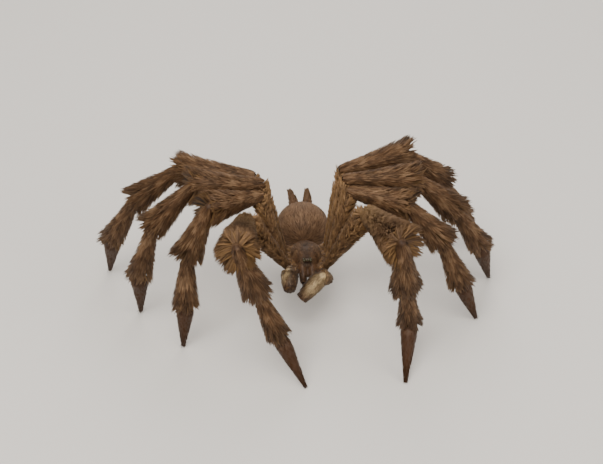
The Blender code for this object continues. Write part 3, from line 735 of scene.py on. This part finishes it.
def tufts(roots, middles, tips, across, widths, root_colours, tip_colours, cells, outwards,
          rings=3):
    """One mesh of flat tapering tufts, each a closed three sided blade along a curve.

    A tuft's shading leans on the outward direction of its place, so that the coat looks soft.
    """
    count = len(roots)
    corners = ((-1.0, 0.0), (1.0, 0.0), (0.0, 0.42))
    points, colours, cell_points, normals = [], [], [], []
    for along, share in zip(*TUFT_RINGS[rings]):
        centre = (1 - along) ** 2 * roots + 2 * along * (1 - along) * middles + along ** 2 * tips
        way = unit((1 - along) * (middles - roots) + along * (tips - middles))
        side = square_to(across, way)
        out = np.cross(side, way)
        half = (widths * share / 2)[:, None]
        colour = root_colours + (tip_colours - root_colours) * along
        for aside, height in corners:
            points.append(centre + side * half * aside + out * half * 2 * height)
            normals.append(outwards + side * 0.3 * aside + out * (0.5 * height - 0.1))
            colours.append(colour)
            cell_points.append(cells + CELL_SIZE * np.array((aside, 2 * along - 1)))
    points.append(tips)
    normals.append(outwards)
    colours.append(tip_colours)
    cell_points.append(cells + CELL_SIZE * np.array((0.0, 1.0)))
    each = len(points)
    faces = [(0, 1, 2)]
    for ring in range(rings - 1):
        for corner in range(3):
            near, far = 3 * ring + corner, 3 * ring + (corner + 1) % 3
            faces += [(near, far + 3, far), (near, near + 3, far + 3)]
    last = 3 * (rings - 1)
    faces += [(last + corner, each - 1, last + (corner + 1) % 3) for corner in range(3)]
    faces = np.array(faces)
    vertices = np.stack(points, axis=1).reshape(-1, 3)
    vertices[:, 2] = np.maximum(vertices[:, 2], FLOOR_CLEARANCE)
    triangles = (faces[None] + (np.arange(count) * each)[:, None, None]).reshape(-1, 3)
    mesh = bpy.data.meshes.new("tufts")
    mesh.vertices.add(len(vertices))
    mesh.vertices.foreach_set("co", vertices.ravel())
    mesh.loops.add(triangles.size)
    mesh.loops.foreach_set("vertex_index", triangles.ravel())
    mesh.polygons.add(len(triangles))
    mesh.polygons.foreach_set("loop_start", np.arange(0, triangles.size, 3))
    mesh.update(calc_edges=True)
    add_markings_and_painted_light(mesh, np.stack(colours, axis=1).reshape(-1, 3))
    unwrap = np.stack(cell_points, axis=1).reshape(-1, 2)
    uv = mesh.uv_layers.new(name="OFBake")
    uv.data.foreach_set("uv", unwrap[triangles.ravel()].ravel())
    mesh.shade_smooth()
    directions = unit(np.stack(normals, axis=1).reshape(-1, 3))
    mesh.normals_split_custom_set_from_vertices(directions.tolist())
    return mesh


def stratified(random, count, start, end):
    """Random numbers spread evenly from start to end, in a random order."""
    values = (np.arange(count) + random.random(count)) / count
    random.shuffle(values)
    return start + (end - start) * values


def scatter(random, count, start, end, turn=-math.pi):
    """Places spread evenly: numbers from start to end and angles of one full turn."""
    numbers = stratified(random, count, start, end)
    return numbers, stratified(random, count, turn, turn + 2 * math.pi)


def limb_tufts(segment, settings, random, cell):
    """The roots, curves and colours of the tufts on one limb segment."""
    form = form_name(segment)
    coat_form = COATS[form]
    hair, coat_start, flare = coat_form.hair * MM, coat_form.start * MM, coat_form.flare * MM
    skin_profile, skin_breadth = SKIN_FORMS[form]
    count = int(coat_form.tufts * settings.fullness)
    foot, open_cuff = segment.kind == "tarsus", form == "front_patella"
    first = {"patella": -0.09, "tarsus": 0.0}.get(segment.kind, -0.04)
    along, around = scatter(random, count, first, 0.97)
    length = hair * random.uniform(0.7, 1.15, count) * (0.55 + 0.45 * along)
    reach = along + length / segment.length
    limit = 1 + coat_form.overhang
    reach = np.minimum(reach, limit - random.random(count) ** 2 * 0.1)
    stand = random.uniform(0.9 if open_cuff else 0.74, 1.0, count)
    deep = (along > 0.72) & (random.random(count) < 0.3)
    stand = np.where(deep, stand * random.uniform(0.45, 0.9, count), stand)
    tip_around = around + random.normal(0, 1, count) * np.where(deep, 0.3, 0.09)
    if coat_form.clumps:
        spots = random.uniform(-math.pi, math.pi, coat_form.clumps)
        spot_reach = random.uniform(-0.05, 0.035, coat_form.clumps)
        spot_stand = random.uniform(0.84, 1.06, coat_form.clumps)
        gap = (around[:, None] - spots[None] + math.pi) % (2 * math.pi) - math.pi
        nearest = np.argmin(np.abs(gap), axis=1)
        pull = np.clip((reach - 0.72) / 0.3, 0, 1) * 0.62
        tip_around = tip_around - gap[np.arange(count), nearest] * pull
        reach = reach + spot_reach[nearest] * pull * 1.6
        stand = stand * (1 - pull) + spot_stand[nearest] * pull
    start, end = np.array(segment.start), np.array(segment.end)
    axis, dorsal, lateral = (np.array(v) for v in (segment.axis, segment.dorsal, segment.lateral))
    places, halves = zip(*skin_profile)
    skin = np.interp(along, places, halves) * MM * 0.92
    shape = np.clip(reach, 0, 1.1) ** (0.95 if segment.kind == "femur" else 1.2)
    if foot:
        rim = np.interp(reach, places, halves) * MM + 0.12 * MM
    else:
        rim = (coat_start + (flare - coat_start) * shape) * stand

    def outward(turn, breadth):
        return np.cos(turn)[:, None] * dorsal + np.sin(turn)[:, None] * lateral * breadth

    span, breadth = end - start, coat_form.breadth
    roots = start + along[:, None] * span + outward(around, skin_breadth) * skin[:, None]
    tips = start + reach[:, None] * span + outward(tip_around, breadth) * rim[:, None]
    bow = outward(around, breadth) * (0.12 * np.abs(rim - skin) + 0.08 * length)[:, None]
    middles = (roots + tips) / 2 + bow
    tips[:, 2] = np.maximum(tips[:, 2], TIP_CLEARANCE)
    twist = random.normal(0, 0.35, count)[:, None]
    flat = outward(around + math.pi / 2, 1.0)
    across = flat * np.cos(twist) + outward(around, 1.0) * np.sin(twist)
    width = settings.hair_width * random.uniform(0.7, 1.25, count) * (0.6 if foot else 1.0)
    width *= 0.75 + 0.5 * np.clip(along, 0, 1)
    root_colours, tip_colours = np.zeros((count, 3)), np.zeros((count, 3))
    contrast = 0.8 if open_cuff else 1.0
    streak = random.normal(0, 0.14, count) * contrast
    strand = random.random(count)
    tip_light = 0.16 if segment.leg in STANCES and not foot else 0.0
    for number in range(count):
        spot = Vector(roots[number])
        base = limb_colour(settings, segment, along[number], around[number], spot)
        if deep[number] and not foot:
            base = mix(base, settings.inner, 0.42)
        elif strand[number] < 0.16 and not foot:
            base = mix(base, settings.light, 0.34 * contrast)
        elif strand[number] > 0.84 and not foot:
            base = mix(base, settings.dark, 0.42 * contrast)
        shade = max(0.5, 1 + streak[number] * (0.5 if foot else 1.0))
        # Painted shade: off the feet, a tuft is darker at its root, deep in the coat, than at its
        # tip.
        root_colours[number] = np.array(base) * shade * (1.0 if foot else 0.8)
        pale = mix(base, settings.light, tip_light)
        tip_colours[number] = np.array(pale) * shade * 1.05
    turn = (around / (2 * math.pi) + 0.5) * 0.92 + 0.04
    cells = np.stack(((cell[0] + 0.05 + 0.9 * along) / cell[1], turn), axis=1)
    lean = np.where(deep, 1.5, 0.9 * np.clip((along - 0.5) / 0.45, 0, 1))
    facing = unit(outward(tip_around, 1.0) + axis * lean[:, None])
    return roots, middles, tips, across, width, root_colours, tip_colours, cells, facing


def joined(groups):
    """Join the arrays of several groups of tufts."""
    return [np.concatenate(arrays) for arrays in zip(*groups)]


class SPIDER_OT_leg_coats(bpy.types.Operator):
    """Grow the coat of each leg, with its ragged fringes"""
    bl_idname = "spider.leg_coats"
    bl_label = "Leg coats"

    def execute(self, context):
        settings = context.scene.spider_coat
        finish = material("leg hair", 0.55, sheen=0.03, gloss=0.16)
        for order, leg in enumerate(STANCES):
            random = np.random.default_rng(settings.seed + order)
            groups = []
            for number, segment in enumerate(leg_segments(leg)):
                groups.append(limb_tufts(segment, settings, random, (number, 5)))
            piece = link(f"coat_{leg}", tufts(*joined(groups)), finish)
            piece.data.name = piece.name
        return {"FINISHED"}


def surface_tufts(spots, lift, width, settings, random):
    """Tufts on a surface that follow a lie and stand a little off it."""
    *columns, lengths = zip(*spots)
    points, normals, lies, colours, cells = (
        np.array([list(value) for value in column]) for column in columns)
    lengths = np.array(lengths)
    count = len(points)
    lies = square_to(lies, normals)
    side = np.cross(lies, normals)
    swing = random.normal(0, 0.22, count)[:, None]
    lies = lies * np.cos(swing) + side * np.sin(swing)
    lengths = lengths * random.uniform(0.7, 1.2, count)
    rise = lift * random.uniform(0.6, 1.2, count)
    roots = points - normals * 0.12 * MM
    tips = points + (lies + normals * rise[:, None]) * lengths[:, None]
    middles = (roots + tips) / 2 + normals * (0.22 * lengths)[:, None]
    shade = np.clip(1 + random.normal(0, 0.24, count), 0.45, 1.6)[:, None]
    across = np.cross(lies, normals)
    widths = width * random.uniform(0.7, 1.25, count)
    tips[:, 2] = np.maximum(tips[:, 2], TIP_CLEARANCE)
    pale = colours + (np.array(settings.light) - colours) * 0.12
    # Painted shade: a tuft is darker at its root, close to the skin, than at its tip.
    root_colours, tip_colours = colours * shade * 0.85, pale * shade
    return roots, middles, tips, across, widths, root_colours, tip_colours, cells, normals


class SPIDER_OT_abdomen_coat(bpy.types.Operator):
    """Grow the short coat of the abdomen and the spinnerets"""
    bl_idname = "spider.abdomen_coat"
    bl_label = "Abdomen coat"

    def execute(self, context):
        settings = context.scene.spider_coat
        random = np.random.default_rng(settings.seed + 20)
        count = int(ABDOMEN_TUFTS * settings.fullness)
        spots = []
        middle = abdomen_section(math.pi / 2)[0]
        for cosine, turn in zip(*scatter(random, count, -0.97, 0.985)):
            angle = math.acos(cosine)
            here = abdomen_point(angle, turn, HAIR_INSET)
            back = abdomen_point(angle + 0.02, turn, HAIR_INSET) - here
            sideways = abdomen_point(angle, turn + 0.02, HAIR_INSET) - here
            normal = sideways.cross(back).normalized()
            if normal.dot(here - middle) < 0:
                normal.negate()
            colour = abdomen_colour(settings, angle, turn, here)
            cell = (0.04 + 0.86 * angle / math.pi, 0.04 + 0.92 * (turn / (2 * math.pi) + 0.5))
            length = (2.3 + 0.6 * (1 - max(0, cosine))) * MM
            spots.append(Spot(here, normal, back.normalized(), colour, cell, length))
        for _, sign in SIDES:
            rows = spinneret_points(sign)
            way = (rows[-1][0] - rows[0][0]).normalized()
            across = way.cross(UP).normalized()
            over = across.cross(way)
            for along, turn in zip(*scatter(random, SPINNERET_TUFTS, 0.1, 0.98)):
                step = min(len(rows) - 2, int(along * (len(rows) - 1)))
                share_of_step = along * (len(rows) - 1) - step
                centre = rows[step][0].lerp(rows[step + 1][0], share_of_step)
                radius = rows[step][1] + (rows[step + 1][1] - rows[step][1]) * share_of_step
                normal = across * math.sin(turn) + over * math.cos(turn)
                here = centre + normal * radius * 0.95
                share_of_pale = 0.35 + 0.8 * mottle(here, 1300, 6) - 0.25 * along
                colour = mix(settings.dark, settings.taupe, share_of_pale)
                cell = (0.96 + 0.02 * sign, 0.04 + 0.92 * along)
                spots.append(Spot(here, normal, way, colour, cell, 1.0 * MM))
        parts = surface_tufts(spots, 0.16, 0.27 * MM, settings, random)
        finish = material("abdomen hair", 0.6, sheen=0.08, gloss=0.2)
        link("coat_abdomen", tufts(*parts, rings=2), finish)
        return {"FINISHED"}


class SPIDER_OT_body_coat(bpy.types.Operator):
    """Grow the short coat of the prosoma and coxae, with the carapace's pale rim"""
    bl_idname = "spider.body_coat"
    bl_label = "Prosoma coat"

    def execute(self, context):
        settings = context.scene.spider_coat
        random = np.random.default_rng(settings.seed + 30)
        count = int(PROSOMA_TUFTS * settings.fullness)
        spots = []
        for z, around in zip(*scatter(random, count, -0.9, 0.985)):
            flat = math.sqrt(1 - z * z)
            x, y = flat * math.sin(around), flat * math.cos(around)
            here = carapace_point(x, y, z)
            place = here + STANCE_MIDDLE
            if place.y < FACE_Y or place.y > WAIST_Y:
                continue
            normal = Vector((x / CARAPACE_WIDTH, y / CARAPACE_LENGTH, z / (2 * CARAPACE_RISE)))
            normal.normalize()
            rim = bell(z, 0.14, 0.1)
            backward = Vector((0.35 * x, 0.5 if place.y > -3.5 * MM else -0.5, -0.2 * z))
            lie = backward.lerp(normal + Vector((0, 0, 0.1)), 0.75 * rim).normalized()
            raised = normal.lerp(UP, 0.5 * rim).normalized()
            colour = prosoma_colour(settings, here)
            cell = (0.04 + 0.42 * (around / (2 * math.pi) + 0.5), 0.04 + 0.92 * (z / 2 + 0.5))
            spots.append(Spot(here, raised, lie, colour, cell, (0.75 + 0.55 * rim) * MM))
        for leg in STANCES:
            femur = leg_segments(leg)[0]
            root = femur.start
            inner = coxa_root(root, LEG_COXA_START)
            axis = (root - inner).normalized()
            across = axis.cross(UP).normalized()
            for along, angle in zip(*scatter(random, COXA_TUFTS, 0.3, 1.0, turn=0)):
                normal = across * math.cos(angle) + axis.cross(across) * math.sin(angle)
                here = inner.lerp(root, along) + normal * 0.98 * MM
                colour = limb_colour(settings, femur, along, math.pi / 2, here)
                cell = (0.52 + 0.42 * along, 0.04 + 0.92 * angle / (2 * math.pi))
                spots.append(Spot(here, normal, axis, colour, cell, 1.1 * MM))
        parts = surface_tufts(spots, 0.3, 0.26 * MM, settings, random)
        finish = material("carapace hair", 0.5, sheen=0.04, gloss=0.2)
        link("coat_prosoma", tufts(*parts, rings=2), finish)
        return {"FINISHED"}


class SPIDER_OT_palp_coat(bpy.types.Operator):
    """Grow the pale coat of the palps and the short hair of the chelicerae"""
    bl_idname = "spider.palp_coat"
    bl_label = "Palp and face coat"

    def execute(self, context):
        settings = context.scene.spider_coat
        random = np.random.default_rng(settings.seed + 40)
        groups = []
        for order, (side, sign) in enumerate(SIDES):
            for number, segment in enumerate(palp_segments(side) + [chelicera_limb(sign)]):
                groups.append(limb_tufts(segment, settings, random, (order * 4 + number, 8)))
        finish = material("pale hair", 0.5, sheen=0.1)
        link("coat_palps", tufts(*joined(groups)), finish)
        return {"FINISHED"}


# Small hard parts

def curved_spike(shape, start, aim, bend, length, radius, tip_radius, sides=12, steps=8):
    """Add a spike that curves from its start, as a closed tube with a rounded tip."""
    across = aim.cross(bend).normalized()
    places = []
    for step in range(steps + 1):
        along = step / steps
        centre = start + aim * length * along + bend * length * 0.45 * along * along
        way = (aim + bend * 0.9 * along).normalized()
        half = radius + (tip_radius - radius) * along ** 0.8
        places.append((centre, way, across, half, half))
    end = places[-1]
    places.append((end[0] + end[1] * tip_radius, *end[1:3], tip_radius * 0.4, tip_radius * 0.4))
    add_tube(shape, places, sides)


def finished(shape, name):
    """Turn a bmesh into a smooth mesh whose faces point outwards."""
    bmesh.ops.recalc_face_normals(shape, faces=shape.faces)
    mesh = bpy.data.meshes.new(name)
    shape.to_mesh(mesh)
    shape.free()
    mesh.shade_smooth()
    return mesh


class SPIDER_OT_fangs(bpy.types.Operator):
    """Make the two curved fangs"""
    bl_idname = "spider.fangs"
    bl_label = "Fangs"

    def execute(self, context):
        settings = context.scene.spider_body
        finish = material("polished fang", 0.22, coat_weight=0.4, colour=settings.fang_colour)
        for side, sign in SIDES:
            shape = bmesh.new()
            start = chelicera_limb(sign).end
            aim = Vector((0, 0.16, -0.99)).normalized()
            curved_spike(shape, start, aim, Vector((0, 1, 0)), settings.fang_length,
                         0.62 * MM, 0.12 * MM)
            piece = link(f"fang_{side}_polished", finished(shape, f"fang_{side}"), finish)
            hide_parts(f"fang_{side}")
        return {"FINISHED"}


class SPIDER_OT_claws(bpy.types.Operator):
    """Make the paired claws at each foot"""
    bl_idname = "spider.claws"
    bl_label = "Claws"

    def execute(self, context):
        settings = context.scene.spider_body
        finish = material("dark claw", 0.3, coat_weight=0.3, colour=settings.fang_colour)
        shape = bmesh.new()
        for leg in STANCES:
            foot = leg_segments(leg)[-1]
            for aside in (-1, 1):
                start = foot.end - foot.axis * 1.15 * MM + foot.lateral * 0.16 * MM * aside
                start += foot.dorsal * 0.12 * MM
                aim = foot.axis * 0.3 + foot.dorsal * 0.9 + foot.lateral * 0.25 * aside
                curved_spike(shape, start, aim.normalized(), -UP, settings.claw_length,
                             0.14 * MM, 0.03 * MM, 6, 5)
        for vertex in shape.verts:
            vertex.co.z = max(vertex.co.z, FLOOR_CLEARANCE)
        link("claws", finished(shape, "claws"), finish)
        return {"FINISHED"}


class SPIDER_OT_eyes(bpy.types.Operator):
    """Make the eight eyes on their low mound"""
    bl_idname = "spider.eyes"
    bl_label = "Eyes"

    def execute(self, context):
        settings = context.scene.spider_body
        low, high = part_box("eyes")
        low, high = Vector(low), Vector(high)
        middle, span = (low + high) / 2, high - low
        shape = bmesh.new()
        base = Matrix.Translation(middle - Vector((0, 0, span.z * 0.32)))
        swell = Matrix.Diagonal((span.x * 0.42, span.y * 0.42, span.z * 0.42, 1))
        bmesh.ops.create_icosphere(shape, subdivisions=4, radius=1, matrix=base @ swell)
        mound = link("eye_mound", finished(shape, "eye_mound"),
                     material("mound hide", 0.5, colour=context.scene.spider_coat.dark))
        shape = bmesh.new()
        for _, sign in SIDES:
            for aside, back, lift, size in EYES:
                place = middle + Vector((sign * aside * MM, back * MM, lift * MM))
                bmesh.ops.create_icosphere(shape, subdivisions=3, radius=settings.eye_radius * size,
                                           matrix=Matrix.Translation(place))
        finish = material("wet eye", 0.14, coat_weight=0.5, colour=settings.eye_colour)
        piece = link("eyes_wet", finished(shape, "eyes_wet"), finish)
        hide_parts("eyes")
        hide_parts("eyes")
        return {"FINISHED"}


# Stage

class SPIDER_OT_stage(bpy.types.Operator):
    """Lay the floor and set the lights and the camera"""
    bl_idname = "spider.stage"
    bl_label = "Stage"

    def execute(self, context):
        settings = context.scene.spider_stage
        shape = bmesh.new()
        bmesh.ops.create_grid(shape, x_segments=1, y_segments=1, size=4)
        floor = bpy.data.objects.new("floor", finished(shape, "floor"))
        plain = bpy.data.materials.new("plain floor")
        plain.use_nodes = True
        set_inputs(plain.node_tree.nodes["Principled BSDF"], {
            "Base Color": (*settings.floor_colour, 1), "Roughness": 0.9})
        floor.data.materials.append(plain)
        context.scene.collection.objects.link(floor)
        world = bpy.data.worlds.new("studio")
        world.use_nodes = True
        set_inputs(world.node_tree.nodes["Background"], {
            "Color": SKY_COLOUR, "Strength": 0.75 * settings.light})
        context.scene.world = world
        for name, place, size, power in LAMPS:
            lamp = bpy.data.lights.new(name, "AREA")
            lamp.size = size
            lamp.energy = power * settings.light
            lamp.color = LAMP_COLOUR
            holder = bpy.data.objects.new(name, lamp)
            holder.location = place
            aim = LAMP_AIM - Vector(place)
            holder.rotation_euler = aim.to_track_quat("-Z", "Y").to_euler()
            context.scene.collection.objects.link(holder)
        self.place_camera(context, settings)
        return {"FINISHED"}

    def place_camera(self, context, settings):
        """Look down at the body as the photograph does."""
        image_width, image_height = 603, 464
        sensor_width = 36
        focal = settings.lens / sensor_width * image_width
        rise, turn = settings.elevation, settings.turn
        level = math.cos(rise)
        ahead = Vector((math.sin(turn) * level, math.cos(turn) * level, -math.sin(rise)))
        right = Vector((math.cos(turn), -math.sin(turn), 0))
        up = right.cross(ahead)
        body_in_photo = Vector((306, 256))
        aim = ahead + right * (body_in_photo.x - image_width / 2) / focal
        aim -= up * (body_in_photo.y - image_height / 2) / focal
        camera = bpy.data.cameras.new("camera")
        camera.lens = settings.lens
        camera.sensor_width = sensor_width
        camera.clip_start = 0.01
        holder = bpy.data.objects.new("camera", camera)
        holder.location = in_frame((0, 0, BODY_HEIGHT)) - aim * settings.distance
        holder.rotation_euler = Matrix((right, up, -ahead)).transposed().to_euler()
        context.scene.collection.objects.link(holder)
        context.scene.camera = holder


class SPIDER_PT_panel(bpy.types.Panel):
    """The pieces of the spiderling, in the order in which they are built"""
    bl_idname = "SPIDER_PT_panel"
    bl_label = "Spiderling"
    bl_space_type = "VIEW_3D"
    bl_region_type = "UI"
    bl_category = "Spiderling"

    def draw(self, context):
        for operator in OPERATORS:
            self.layout.operator(operator.bl_idname)
        for group in ("spider_body", "spider_coat", "spider_stage"):
            settings = getattr(context.scene, group)
            for name in settings.bl_rna.properties.keys():
                if name not in ("rna_type", "name"):
                    self.layout.prop(settings, name)


OPERATORS = (
    SPIDER_OT_skin, SPIDER_OT_leg_coats, SPIDER_OT_abdomen_coat, SPIDER_OT_body_coat,
    SPIDER_OT_palp_coat, SPIDER_OT_fangs, SPIDER_OT_claws, SPIDER_OT_eyes, SPIDER_OT_stage,
)
GROUPS = (SpiderBodySettings, SpiderCoatSettings, SpiderStageSettings)


def register():
    for thing in GROUPS + OPERATORS + (SPIDER_PT_panel,):
        bpy.utils.register_class(thing)
    bpy.types.Scene.spider_body = bpy.props.PointerProperty(type=SpiderBodySettings)
    bpy.types.Scene.spider_coat = bpy.props.PointerProperty(type=SpiderCoatSettings)
    bpy.types.Scene.spider_stage = bpy.props.PointerProperty(type=SpiderStageSettings)


def unregister():
    del bpy.types.Scene.spider_stage
    del bpy.types.Scene.spider_coat
    del bpy.types.Scene.spider_body
    for thing in reversed(GROUPS + OPERATORS + (SPIDER_PT_panel,)):
        bpy.utils.unregister_class(thing)


def main():
    """Build every piece in order."""
    register()
    bpy.ops.spider.skin()
    bpy.ops.spider.leg_coats()
    bpy.ops.spider.abdomen_coat()
    bpy.ops.spider.body_coat()
    bpy.ops.spider.palp_coat()
    bpy.ops.spider.fangs()
    bpy.ops.spider.claws()
    bpy.ops.spider.eyes()
    bpy.ops.spider.stage()


if __name__ == "__main__":
    main()
